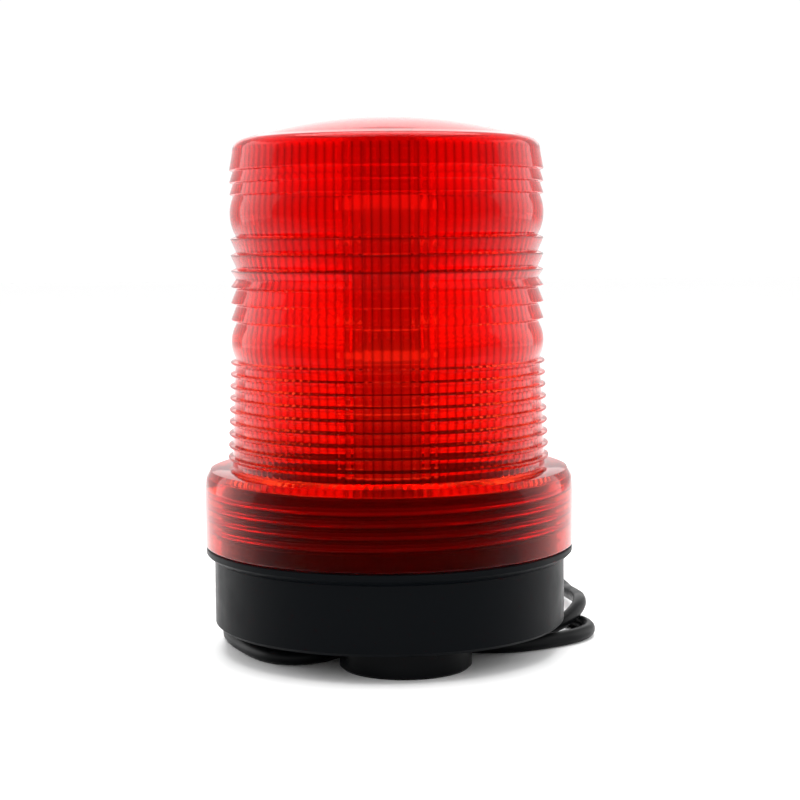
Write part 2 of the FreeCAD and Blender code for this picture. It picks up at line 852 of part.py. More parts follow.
def plug_ring():
    """The knurled ring that screws on the nose and keeps the tip in."""
    ring = plug_lathe([(3.9, TIP_Y), (8.2, TIP_Y), (8.8, TIP_Y + 0.6), (8.8, RING_Y - 0.02), (3.9, RING_Y - 0.02)])
    teeth = 24
    for k in range(teeth):
        angle = 2 * math.pi * k / teeth
        at = V(PLUG_X + 9.0 * math.cos(angle), TIP_Y + 1.2, PLUG_Z + 9.0 * math.sin(angle))
        ring = ring.cut(cylinder(0.45, 6.0, at, V(0, 1, 0)))
    return ring


def plug_tip():
    """The sprung centre contact with its inner collar."""
    return plug_lathe(
        [
            (0.0, TIP_Y - TIP_OUT),
            (1.6, TIP_Y - TIP_OUT),
            (3.2, TIP_Y - TIP_OUT + 2.2),
            (3.6, TIP_Y - TIP_OUT + 3.4),
            (3.6, RING_Y + 0.3),
            (5.4, RING_Y + 0.3),
            (5.4, RING_Y + 1.6),
            (0.0, RING_Y + 1.6),
        ]
    )


def plug_fuse():
    """Glass tube with a metal cap at each end; it moves with the tip."""
    return plug_lathe([(0.0, 61.7), (3.15, 61.7), (3.15, 91.6), (0.0, 91.6)])


def plug_side_contact(side):
    """A bowed leaf that stands proud of the barrel."""
    middle = V(BARREL_R + 1.4 - 24.0, 77.5, -2.2)
    leaf = tube(24.0, 23.2, 4.4, middle)
    leaf = leaf.common(Part.makeBox(8.0, 16.0, 4.4, V(BARREL_R - 4.0, 69.5, -2.2)))
    if side < 0:
        leaf = leaf.mirror(V(0, 0, 0), V(1, 0, 0))
    leaf.translate(V(PLUG_X, 0, PLUG_Z))
    return leaf


def rear_contact():
    """The plate behind the fuse that the positive core is soldered to."""
    return plug_lathe([(0.0, 100.0), (6.6, 100.0), (6.6, 100.8), (0.0, 100.8)])


def plug_spring():
    """The fuse spring, drawn as its sleeve."""
    return plug_lathe([(2.1, 94.9), (2.9, 94.9), (2.9, 99.95), (2.1, 99.95)])


def main():
    os.makedirs("parts", exist_ok=True)
    save("base_housing", base_housing())
    save("bottom_plate", bottom_plate())
    save("plate_screws", plate_screws())
    for index, name in enumerate(MAGNET_NAMES):
        save("magnet_cup_" + name, magnet_cup(index))
        save("magnet_ferrite_" + name, magnet_ferrite(index))
    save("magnet_screws", magnet_screws())
    save("magnet_nuts", magnet_nuts())
    save("driver_board", driver_board())
    save("driver_screws", driver_screws())
    save("driver_capacitors", driver_capacitors())
    save("driver_chips", driver_chips())
    save("lead_terminal", lead_terminal())
    save("lead_cores", lead_cores())
    save("tower_wires", turned(tower_wires()))
    save("tower_foot", turned(tower_foot()))
    save("tower_core", turned(tower_core()))
    for index in range(TIERS):
        save("tower_shelf_" + str(index + 1), turned(tower_shelf(index + 1)))
        save("led_boards_" + str(index + 1), turned(tier_boards(index)))
        save("leds_" + str(index + 1), turned(tier_leds(index)))
    save("tower_cap", turned(tower_cap()))
    save("tower_rod", tower_rod())
    save("tower_nut", tower_nut())
    save("lens", lens())
    save("lens_gasket", lens_gasket())
    save("cord_gland", cord_gland())
    save("cord_lead", cord_tube("cord_lead", LEAD_ROUTE))
    save("cord_coil", cord_coil())
    save("coil_tie", coil_tie())
    save("cord_tail", cord_tube("cord_tail", TAIL_ROUTE))
    save("plug_body", plug_body())
    save("plug_relief", plug_relief())
    save("plug_ring", plug_ring())
    save("plug_tip", plug_tip())
    save("plug_fuse", plug_fuse())
    save("plug_spring", plug_spring())
    save("plug_rear_contact", rear_contact())
    save("plug_side_contact_left", plug_side_contact(-1))
    save("plug_side_contact_right", plug_side_contact(1))


main()
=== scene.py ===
"""Looks of a magnet-mount LED warning beacon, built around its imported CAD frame.

The beacon is a red screw-on lens over a tower of LEDs, a black round base on three pot magnets, and a lead
with a vehicle power plug. All lengths in the dataclasses are millimetres unless a name says otherwise; meshes
are made in metres, in the frame's own axes.
"""

from __future__ import annotations

import logging
import math
from dataclasses import dataclass, field
from enum import Enum
from typing import Any, Sequence

import bpy
import numpy as np
from mathutils import Euler, Matrix


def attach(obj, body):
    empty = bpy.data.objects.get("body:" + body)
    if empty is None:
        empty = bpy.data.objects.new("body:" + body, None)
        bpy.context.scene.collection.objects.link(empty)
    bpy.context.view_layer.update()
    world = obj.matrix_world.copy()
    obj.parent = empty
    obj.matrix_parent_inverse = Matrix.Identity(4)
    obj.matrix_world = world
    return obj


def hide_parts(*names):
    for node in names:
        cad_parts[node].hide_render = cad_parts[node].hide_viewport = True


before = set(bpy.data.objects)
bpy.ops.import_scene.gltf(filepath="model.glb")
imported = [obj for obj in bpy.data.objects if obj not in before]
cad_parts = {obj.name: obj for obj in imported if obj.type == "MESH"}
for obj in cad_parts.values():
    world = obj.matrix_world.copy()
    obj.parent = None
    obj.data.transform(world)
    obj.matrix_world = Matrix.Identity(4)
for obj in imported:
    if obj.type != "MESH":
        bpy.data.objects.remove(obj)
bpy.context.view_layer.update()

LOG = logging.getLogger("beacon")
MM = 0.001
FULL_TURN = 2 * math.pi
# Edges that turn more than this, in degrees, stay sharp
CREASE = 35.0


# ------------------------------------------------------------------ numbers and meshes


def linear(hex_code: str) -> tuple[float, float, float, float]:
    """Turns an sRGB hex colour to linear RGBA.

    Args:
        hex_code: the colour as "#RRGGBB".

    Returns:
        Linear red, green and blue, and an alpha of 1.
    """
    channels = [int(hex_code[i : i + 2], 16) / 255 for i in (1, 3, 5)]
    out = [c / 12.92 if c <= 0.04045 else ((c + 0.055) / 1.055) ** 2.4 for c in channels]
    return (out[0], out[1], out[2], 1.0)


def smooth_step(value: np.ndarray) -> np.ndarray:
    """Eases 0 to 1 with level ends: 3t squared minus 2t cubed of the value held to 0..1."""
    t = np.clip(value, 0.0, 1.0)
    return t * t * (3 - 2 * t)


def grid_faces(rows: int, columns: int) -> np.ndarray:
    """Quads of a grid of vertices numbered row by row, where each row's last vertex joins its first.

    Args:
        rows: how many rows of vertices.
        columns: how many vertices in a row.

    Returns:
        An array of four vertex numbers for each face.
    """
    i, j = np.meshgrid(np.arange(rows - 1), np.arange(columns), indexing="ij")
    k = (j + 1) % columns
    low, high = i * columns, (i + 1) * columns
    return np.stack([low + j, low + k, high + k, high + j], axis=-1).reshape(-1, 4)


def mesh_piece(
    name: str, points: np.ndarray, faces: Sequence, crease_degrees: float = CREASE
) -> bpy.types.Object:
    """Makes an object from points in millimetres and faces.

    Args:
        name: the piece's name.
        points: an array of N by 3.
        faces: vertex numbers of each face.
        crease_degrees: edges that turn more than this stay sharp.

    Returns:
        The new object, linked to the scene.
    """
    mesh = bpy.data.meshes.new(name)
    mesh.from_pydata((points * MM).tolist(), [], [list(map(int, f)) for f in faces])
    mesh.polygons.foreach_set("use_smooth", np.ones(len(mesh.polygons), bool))
    mesh.set_sharp_from_angle(angle=math.radians(crease_degrees))
    mesh.update()
    piece = bpy.data.objects.new(name, mesh)
    bpy.context.scene.collection.objects.link(piece)
    return piece


def arc_points(start: tuple, bulge: tuple, end: tuple, count: int) -> list[tuple[float, float]]:
    """Points of the circle through three (radius, height) points, without the first one.

    Args:
        start: where the arc starts.
        bulge: a point on the arc between its ends.
        end: where the arc ends.
        count: how many points to give.

    Returns:
        The points in order, the last one being the arc's end.
    """
    a, b, c = (complex(*p) for p in (start, bulge, end))
    w = (c - a) / (b - a)
    centre = (b - a) * (w - abs(w) ** 2) / (2j * w.imag) + a
    first, middle, last = (np.angle(p - centre) for p in (a, b, c))
    sweep = (last - first) % FULL_TURN
    if (middle - first) % FULL_TURN > sweep:
        sweep -= FULL_TURN
    angles = first + sweep * np.arange(1, count + 1) / count
    radius = abs(a - centre)
    return [(centre.real + radius * math.cos(t), centre.imag + radius * math.sin(t)) for t in angles]


def rounded_outline(corners: Sequence[tuple], steps: int = 3) -> np.ndarray:
    """Rounds the corners of an outline.

    Each corner is (a, b, radius); its round is a quadratic curve between the two points that lie a radius
    away from the corner along its sides.

    Args:
        corners: the outline's corners in order, with the size of each round.
        steps: how many parts each round has.

    Returns:
        The outline as an array of N by 2.
    """
    longest = 0.48  # a round takes at most this share of each side
    points = np.array([c[:2] for c in corners], float)
    out: list[np.ndarray] = [points[0]]
    for i in range(1, len(points) - 1):
        corner, size = points[i], corners[i][2]
        if size <= 0:
            out.append(corner)
            continue
        back, ahead = points[i - 1] - corner, points[i + 1] - corner
        start = corner + back / np.linalg.norm(back) * min(size, np.linalg.norm(back) * longest)
        end = corner + ahead / np.linalg.norm(ahead) * min(size, np.linalg.norm(ahead) * longest)
        for t in np.linspace(0, 1, steps + 1):
            out.append((1 - t) ** 2 * start + 2 * t * (1 - t) * corner + t**2 * end)
    out.append(points[-1])
    return np.array(out)


def revolve(outline: np.ndarray, columns: int) -> tuple[np.ndarray, np.ndarray]:
    """Turns an outline of (radius, height) about the Z axis; point (t, k) is (r cos k, r sin k, z).

    Args:
        outline: the outline from its lower end, in the sense that gives outward faces.
        columns: how many steps round the axis.

    Returns:
        The points and the faces.
    """
    angle = np.arange(columns) * FULL_TURN / columns
    radius, height = outline[:, :1], outline[:, 1:]
    x = radius * np.cos(angle)
    y = radius * np.sin(angle)
    points = np.stack([x, y, np.broadcast_to(height, x.shape)], axis=-1).reshape(-1, 3)
    return points, grid_faces(len(outline), columns)


def joined(
    name: str, parts: Sequence[tuple[np.ndarray, Sequence]], crease_degrees: float = CREASE
) -> bpy.types.Object:
    """Makes one object of several sets of points and faces.

    Args:
        name: the piece's name.
        parts: each part's points and faces.
        crease_degrees: edges that turn more than this stay sharp.

    Returns:
        The new object.
    """
    points, faces, count = [], [], 0
    for part_points, part_faces in parts:
        points.append(part_points)
        faces += [tuple(int(v) + count for v in f) for f in part_faces]
        count += len(part_points)
    return mesh_piece(name, np.concatenate(points), faces, crease_degrees)


# ------------------------------------------------------------------ finishes


def add_node(
    tree: bpy.types.NodeTree, kind: str, settings: dict[str, Any], links: dict[Any, Any]
) -> bpy.types.Node:
    """Adds one node with its settings and links.

    Args:
        tree: the material's node tree.
        kind: the node's type name.
        settings: values by socket name or by the node's own attribute name.
        links: output sockets by the name or number of the input that each goes to.

    Returns:
        The new node.
    """
    node = tree.nodes.new(kind)
    for name, value in settings.items():
        if hasattr(node, name):
            setattr(node, name, value)
        else:
            node.inputs[name].default_value = value
    for name, socket in links.items():
        tree.links.new(socket, node.inputs[name])
    return node


# The noise values that stand for a patch's least and greatest roughness
PATCH_SWING = (0.3, 0.7)
# No finish is smoother than this, and every coat and grain is this rough and this strong
LEAST_ROUGHNESS = 0.02
COAT_ROUGHNESS = 0.08
GRAIN_STRENGTH = 0.35


class Grain(Enum):
    """How the fine relief lies: the value is how many times finer it is along Z than across."""

    EVEN = 1.0
    BRUSHED = 14.0


@dataclass(frozen=True)
class Finish:
    """A solid finish: its colour with slight patches, its gloss with slight patches, and its grain."""

    name: str
    colour: str
    patch_colour: str
    roughness: float
    roughness_spread: float = 0.08
    metallic: float = 0.0
    ior: float = 1.5
    specular: float = 0.5
    coat: float = 0.0
    grain: Grain = Grain.EVEN
    grain_mm: float = 0.5
    grain_depth_mm: float = 0.02
    patch_mm: float = 9.0
    glow: float = 0.0

    def make(self) -> bpy.types.Material:
        """Builds the material; patches and grain are noise on Object coordinates, sized in millimetres."""
        material = bpy.data.materials.new(self.name)
        material.use_nodes = True
        tree = material.node_tree
        tree.nodes.clear()
        place = add_node(tree, "ShaderNodeTexCoord", {}, {})
        patch = add_node(
            tree,
            "ShaderNodeTexNoise",
            {"Scale": 1 / (self.patch_mm * MM), "Detail": 4.0},
            {"Vector": place.outputs["Object"]},
        )
        colour = add_node(tree, "ShaderNodeMix", {"data_type": "RGBA"}, {0: patch.outputs["Fac"]})
        colour.inputs[6].default_value = linear(self.colour)
        colour.inputs[7].default_value = linear(self.patch_colour)
        gloss = add_node(
            tree,
            "ShaderNodeMapRange",
            {
                "From Min": PATCH_SWING[0],
                "From Max": PATCH_SWING[1],
                "To Min": max(LEAST_ROUGHNESS, self.roughness - self.roughness_spread),
                "To Max": min(1.0, self.roughness + self.roughness_spread),
            },
            {"Value": patch.outputs["Fac"]},
        )
        stretch = (1.0, 1.0, self.grain.value)
        mapped = add_node(tree, "ShaderNodeMapping", {"Scale": stretch}, {"Vector": place.outputs["Object"]})
        grain = add_node(
            tree,
            "ShaderNodeTexNoise",
            {"Scale": 1 / (self.grain_mm * MM), "Detail": 3.0},
            {"Vector": mapped.outputs["Vector"]},
        )
        relief = add_node(
            tree,
            "ShaderNodeBump",
            {"Strength": GRAIN_STRENGTH, "Distance": self.grain_depth_mm * MM},
            {"Height": grain.outputs["Fac"]},
        )
        shader = add_node(
            tree,
            "ShaderNodeBsdfPrincipled",
            {
                "Metallic": self.metallic,
                "IOR": self.ior,
                "Specular IOR Level": self.specular,
                "Coat Weight": self.coat,
                "Coat Roughness": COAT_ROUGHNESS,
            },
            {
                "Base Color": colour.outputs[2],
                "Roughness": gloss.outputs["Result"],
                "Normal": relief.outputs["Normal"],
            },
        )
        # Painted glow: the finish's own colour given off as emission, though the part is no lamp
        if self.glow > 0:
            shader.inputs["Emission Color"].default_value = linear(self.colour)
            shader.inputs["Emission Strength"].default_value = self.glow
        add_node(tree, "ShaderNodeOutputMaterial", {}, {"Surface": shader.outputs["BSDF"]})
        return material


@dataclass(frozen=True)
class ClearPlastic:
    """A see-through tinted plastic: light passes and bends in it, and a little scatters, which makes it glow.

    The tint goes from a lower to an upper colour over the piece's height. Where the mesh has an attribute of
    painted shade, the tint is multiplied by the painted shade tint colour and the scatter turns to the
    painted shade scatter colour, which draws dark lines of painted shade. sheen_colour dims the reflection of
    what faces the surface and leaves that at its edges.
    """

    name: str
    low_colour: str
    high_colour: str
    low_mm: float
    high_mm: float
    scatter_colour: str
    scatter: float
    roughness: float
    ior: float
    # Colours of the painted shade: the first multiplies the tint and the second replaces the scatter, where
    # the mesh's attribute of painted shade is
    painted_shade_tint_colour: str = "#FFFFFF"
    painted_shade_scatter_colour: str = "#000000"
    sheen_colour: str = "#FFFFFF"
    wave_mm: float = 7.0
    wave_depth_mm: float = 0.05
    wave_strength: float = 0.12
    gloss_swing: float = 0.4

    def make(self) -> bpy.types.Material:
        """Builds the material: a refracting surface mixed with a share of diffuse scatter."""
        material = bpy.data.materials.new(self.name)
        material.use_nodes = True
        tree = material.node_tree
        tree.nodes.clear()
        place = add_node(tree, "ShaderNodeTexCoord", {}, {})
        parts = add_node(tree, "ShaderNodeSeparateXYZ", {}, {"Vector": place.outputs["Object"]})
        height = add_node(
            tree,
            "ShaderNodeMapRange",
            {"From Min": self.low_mm * MM, "From Max": self.high_mm * MM},
            {"Value": parts.outputs["Z"]},
        )
        tint = add_node(tree, "ShaderNodeMix", {"data_type": "RGBA"}, {0: height.outputs["Result"]})
        tint.inputs[6].default_value = linear(self.low_colour)
        tint.inputs[7].default_value = linear(self.high_colour)
        # Painted shade: the mesh attribute that draws dark lines into the tint and the scatter
        painted_shade = add_node(tree, "ShaderNodeAttribute", {"attribute_name": "painted_shade"}, {})
        lines = add_node(
            tree,
            "ShaderNodeMix",
            {"data_type": "RGBA", "blend_type": "MULTIPLY"},
            {0: painted_shade.outputs["Fac"], 6: tint.outputs[2]},
        )
        lines.inputs[7].default_value = linear(self.painted_shade_tint_colour)
        waves = add_node(
            tree,
            "ShaderNodeTexNoise",
            {"Scale": 1 / (self.wave_mm * MM), "Detail": 2.0},
            {"Vector": place.outputs["Object"]},
        )
        relief = add_node(
            tree,
            "ShaderNodeBump",
            {"Strength": self.wave_strength, "Distance": self.wave_depth_mm * MM},
            {"Height": waves.outputs["Fac"]},
        )
        gloss = add_node(
            tree,
            "ShaderNodeMapRange",
            {
                "To Min": self.roughness * (1 - self.gloss_swing),
                "To Max": self.roughness * (1 + self.gloss_swing),
            },
            {"Value": waves.outputs["Fac"]},
        )
        clear = add_node(
            tree,
            "ShaderNodeBsdfPrincipled",
            {"Transmission Weight": 1.0, "IOR": self.ior, "Specular Tint": linear(self.sheen_colour)},
            {
                "Base Color": lines.outputs[2],
                "Roughness": gloss.outputs["Result"],
                "Normal": relief.outputs["Normal"],
            },
        )
        # Scatter colour, turned to the painted shade colour where the attribute of painted shade is
        glow = add_node(tree, "ShaderNodeMix", {"data_type": "RGBA"}, {0: painted_shade.outputs["Fac"]})
        glow.inputs[6].default_value = linear(self.scatter_colour)
        glow.inputs[7].default_value = linear(self.painted_shade_scatter_colour)
        cloud = add_node(
            tree,
            "ShaderNodeBsdfTranslucent",
            {},
            {"Color": glow.outputs[2], "Normal": relief.outputs["Normal"]},
        )
        both = add_node(
            tree,
            "ShaderNodeMixShader",
            {"Fac": self.scatter},
            {1: clear.outputs["BSDF"], 2: cloud.outputs["BSDF"]},
        )
        add_node(tree, "ShaderNodeOutputMaterial", {}, {"Surface": both.outputs["Shader"]})
        return material


def dress(piece: bpy.types.Object, material: bpy.types.Material) -> None:
    """Gives a piece one material in all its slots."""
    piece.data.materials.clear()
    piece.data.materials.append(material)


# Polycarbonate, injection moulded in a polished tool: glassy and saturated, with dimmed front reflections
RED_POLYCARBONATE = ClearPlastic(
    name="red_polycarbonate_moulded",
    # Painted light and shade: the tint is lighter and more orange low and deeper red high
    low_colour="#FF4420",
    high_colour="#EC1E14",
    low_mm=66,
    high_mm=122,
    scatter_colour="#F4160A",
    scatter=0.14,
    roughness=0.06,
    ior=1.45,
    # Painted shade: colours of the dark lines between the flutes and at the large ribs
    painted_shade_tint_colour="#641010",
    painted_shade_scatter_colour="#780606",
    sheen_colour="#5A2020",
)
# ABS, moulded in a spark-eroded tool: black satin with a fine even tooth. The specular level is far under the
# usual 0.5, on this and on other black finishes below, so that they mirror less of the white surround
BLACK_ABS = Finish(
    "black_abs_spark_moulded", "#040608", "#06080B", 0.38, specular=0.035, grain_mm=0.45, grain_depth_mm=0.03
)
# Powder paint on pressed steel: satin, slightly dimpled
PAINTED_STEEL = Finish(
    "black_powder_painted_steel", "#060708", "#0A0B0D", 0.48, specular=0.06, grain_mm=1.2, grain_depth_mm=0.05
)
# Black nickel on pressed steel pots: darker and smoother than the paint, drawn as a plain dark surface
# without a metallic share
BLACK_NICKEL = Finish(
    "black_nickel_plated_steel", "#020304", "#040507", 0.33, specular=0.05, grain_mm=0.6, grain_depth_mm=0.01
)
# Sintered ferrite, ground flat: dull grey-black with a dusty tooth
FERRITE = Finish("ferrite_sintered_ground", "#232426", "#2E2F31", 0.72, grain_mm=0.7, grain_depth_mm=0.05)
# Zinc on steel fasteners: bluish, bright, faint drawn lines
ZINC_STEEL = Finish(
    "zinc_plated_steel", "#B9BDC2", "#A4A9B0", 0.28, metallic=1.0, grain=Grain.BRUSHED, grain_mm=0.4
)
# Nickel on brass contacts: warm silver, smooth, with faint turned lines
NICKEL_BRASS = Finish(
    "nickel_plated_brass_turned", "#CFC9BB", "#BDB6A6", 0.2, metallic=1.0, grain=Grain.BRUSHED
)
# Solder mask over fibreglass: green and glossy
GREEN_LAMINATE = Finish("green_solder_mask_laminate", "#0F5A33", "#0C4A2B", 0.3, coat=0.5, grain_mm=0.8)
# White solder mask of LED boards: slightly warm, half gloss
WHITE_LAMINATE = Finish("white_solder_mask_laminate", "#D9D6CE", "#CFCBC1", 0.35, grain_mm=0.8)
# PVC sleeve of the electrolytic cans: near black, shrunk tight
CAN_SLEEVE = Finish("shrunk_pvc_sleeve", "#15161C", "#1B1D26", 0.3, grain_mm=1.5)
# Epoxy of moulded chips: dull, sandy
CHIP_EPOXY = Finish("chip_epoxy_moulded", "#151516", "#1C1C1D", 0.6, grain_mm=0.3)
# Nylon of the terminal block
BLUE_NYLON = Finish("blue_nylon_moulded", "#1C5C86", "#174E74", 0.45, grain_mm=0.5)
# ABS of the tower core, unpainted, pale
PALE_ABS = Finish("pale_abs_moulded", "#C9C5BB", "#BDB8AD", 0.45, grain_mm=0.6)
# Acetal of the cap over the tower: white and waxy
WHITE_ACETAL = Finish("white_acetal_moulded", "#FFFDF7", "#F6F2E8", 0.3, grain_mm=1.0)
# Acetal of the shelf plates: a little warmer, with a weak painted glow, an emission though the plates are no
# lamp, so that their edges show through the lens
PAINTED_GLOW_ACETAL = Finish("white_acetal_painted_glow", "#FFFAF2", "#FFF4E6", 0.3, grain_mm=1.0, glow=0.25)
# LED package body: half glossy white polyphthalamide cup
LED_CUP = Finish("led_cup_moulded", "#F2EFE6", "#E6E2D8", 0.3, grain_mm=0.8)
# LED resin: silicone over a yellow phosphor
LED_RESIN = Finish("led_silicone_resin", "#E8C35A", "#D8AE45", 0.18, coat=0.6, grain_mm=0.6)
# PVC sheath of the lead: black satin
BLACK_PVC = Finish(
    "black_pvc_extruded", "#040506", "#07080A", 0.38, specular=0.08, grain_mm=0.6, grain_depth_mm=0.03
)
# Softer PVC of moulded strain reliefs, a little more matt
RELIEF_PVC = Finish(
    "black_pvc_moulded", "#060708", "#0A0B0C", 0.5, specular=0.1, grain_mm=0.5, grain_depth_mm=0.03
)
# Wire insulation, red PVC, extruded
RED_WIRE = Finish("red_pvc_wire_extruded", "#9C1512", "#8A100E", 0.4, grain_mm=0.5)
# Silicone of the gasket, matt and soft
SILICONE = Finish("grey_silicone_moulded", "#2A2B2C", "#333435", 0.65, grain_mm=0.7)
# Nylon strap
BLACK_NYLON = Finish("black_nylon_moulded", "#0A0A0B", "#101011", 0.45, specular=0.2, grain_mm=0.5)
# Phenolic of the plug: hard, dark, half gloss
PHENOLIC = Finish("black_phenolic_moulded", "#0A0A0B", "#101011", 0.3, specular=0.3, grain_mm=0.5)
# Lacquered board of the table top, with a faint broad grain
WHITE_LACQUER = Finish("white_lacquered_board", "#FCFCFC", "#FAFAFA", 0.6, grain_mm=3.0, grain_depth_mm=0.01)
# Fuse tube, seen only through the plug's side windows
FUSE_GLASS = ClearPlastic("fuse_glass_drawn", "#F2F6F5", "#F2F6F5", 0, 20, "#DDE4E2", 0.25, 0.05, 1.5)

NODE_FINISHES: dict[str, Finish | ClearPlastic] = {
    "base_housing": BLACK_ABS,
    "bottom_plate": PAINTED_STEEL,
    "magnet_cup": BLACK_NICKEL,
    "magnet_ferrite": FERRITE,
    "plate_screws": ZINC_STEEL,
    "magnet_screws": ZINC_STEEL,
    "magnet_nuts": ZINC_STEEL,
    "driver_screws": ZINC_STEEL,
    "tower_rod": ZINC_STEEL,
    "tower_nut": ZINC_STEEL,
    "driver_board": GREEN_LAMINATE,
    "driver_capacitors": CAN_SLEEVE,
    "driver_chips": CHIP_EPOXY,
    "lead_terminal": BLUE_NYLON,
    "lead_cores": RED_WIRE,
    "tower_wires": RED_WIRE,
    "tower_foot": PALE_ABS,
    "tower_core": PALE_ABS,
    "tower_shelf": PAINTED_GLOW_ACETAL,
    "tower_cap": WHITE_ACETAL,
    "led_boards": WHITE_LAMINATE,
    "leds": LED_CUP,
    "lens_gasket": SILICONE,
    "cord_gland": RELIEF_PVC,
    "coil_tie": BLACK_NYLON,
    "plug_relief": RELIEF_PVC,
    "plug_body": PHENOLIC,
    "plug_ring": PHENOLIC,
    "plug_tip": NICKEL_BRASS,
    "plug_spring": NICKEL_BRASS,
    "plug_rear_contact": NICKEL_BRASS,
    "plug_side_contact": NICKEL_BRASS,
    "plug_fuse": FUSE_GLASS,
}


class Workshop:
    """Keeps each finish's material, so that it is made once."""

    def __init__(self) -> None:
        """Starts with no materials."""
        self.made: dict[str, bpy.types.Material] = {}

    def material(self, finish: Finish | ClearPlastic) -> bpy.types.Material:
        """The material of a finish, made the first time it is asked for."""
        if finish.name not in self.made:
            self.made[finish.name] = finish.make()
        return self.made[finish.name]


# ------------------------------------------------------------------ camera, lights and floor


@dataclass(frozen=True)
class SoftBox:
    """One rectangular lamp: its centre, the point that it faces, and its width and height, all in metres."""

    name: str
    place: tuple[float, float, float]
    aim: tuple[float, float, float]
    size: tuple[float, float]
    watts: float

    def build(self) -> None:
        """Makes the lamp, level along its width."""
        data = bpy.data.lights.new(self.name, "AREA")
        data.shape = "RECTANGLE"
        data.size, data.size_y = self.size
        data.energy = self.watts
        lamp = bpy.data.objects.new(self.name, data)
        forward = np.array(self.aim) - np.array(self.place)
        forward = forward / np.linalg.norm(forward)
        side = np.cross(forward, (0.0, 0.0, 1.0) if abs(forward[2]) < 0.95 else (0.0, 1.0, 0.0))
        side /= np.linalg.norm(side)
        up = np.cross(side, forward)
        rows = [[side[i], up[i], -forward[i], self.place[i]] for i in range(3)]
        lamp.matrix_world = Matrix(rows + [[0.0, 0.0, 0.0, 1.0]])
        bpy.context.scene.collection.objects.link(lamp)


@dataclass
class Studio:
    """A white table-top studio: floor, soft lights at both sides, above and far behind, and a long lens."""

    eye_mm: tuple[float, float, float] = (3.2, -493.0, 112.0)
    pitch_down: float = 5.2
    roll: float = -0.45
    lens_mm: float = 81.9
    sensor_mm: float = 36.0
    surround: float = 1.03
    floor_half: float = 4.0
    side_lamp: SoftBox = SoftBox("side", (0.7, 0.25, 0.25), (0.0, 0.0, 0.09), (0.6, 0.55), 1.8)
    side_shares: tuple[float, ...] = (1.0, 0.62, 0.3)
    top_lamp: SoftBox = SoftBox("top", (0.0, 0.1, 0.9), (0.0, 0.0, 0.1), (0.8, 0.8), 9.0)
    far_lamp: SoftBox = SoftBox("behind", (0.0, 1.5, 0.62), (0.0, 0.0, 0.12), (1.4, 0.6), 2.0)

    def build(self) -> None:
        """Makes the camera, the world, the lights and the floor."""
        self.camera()
        self.world()
        self.lights()
        self.floor()

    def camera(self) -> None:
        """A long lens in front, a little above, with a slight roll."""
        data = bpy.data.cameras.new("camera")
        data.lens = self.lens_mm
        data.sensor_width = self.sensor_mm
        camera = bpy.data.objects.new("camera", data)
        tilt = Euler((math.radians(90 - self.pitch_down), 0, 0)).to_matrix()
        turn = tilt @ Matrix.Rotation(math.radians(self.roll), 3, "Z")
        camera.matrix_world = Matrix.Translation([v * MM for v in self.eye_mm]) @ turn.to_4x4()
        bpy.context.scene.collection.objects.link(camera)
        bpy.context.scene.camera = camera

    def world(self) -> None:
        """An even white surround."""
        world = bpy.data.worlds.new("studio")
        world.use_nodes = True
        world.node_tree.nodes["Background"].inputs["Color"].default_value = (1.0, 1.0, 1.0, 1.0)
        world.node_tree.nodes["Background"].inputs["Strength"].default_value = self.surround
        bpy.context.scene.world = world
        bpy.context.scene.view_settings.view_transform = "Standard"

    def lights(self) -> None:
        """Nested soft boxes at each side, so that their edges fade, then one overhead and one far behind.

        A nested box has its share of the full width and watts, and the root of that share of the full height.
        """
        x, y, z = self.side_lamp.place
        width, height = self.side_lamp.size
        for share in self.side_shares:
            for side, word in ((-1, "left"), (1, "right")):
                SoftBox(
                    name=f"{self.side_lamp.name}_{word}_{round(share * 100)}",
                    place=(x * side, y, z),
                    aim=self.side_lamp.aim,
                    size=(width * share, height * share**0.5),
                    watts=self.side_lamp.watts * share,
                ).build()
        self.top_lamp.build()
        self.far_lamp.build()

    def floor(self) -> None:
        """A plain pale table top."""
        h = self.floor_half / MM
        points = np.array([(-h, -h, 0.0), (h, -h, 0.0), (h, h, 0.0), (-h, h, 0.0)])
        table = mesh_piece("table_top", points, [(0, 1, 2, 3)])
        dress(table, WHITE_LACQUER.make())


# ------------------------------------------------------------------ lens


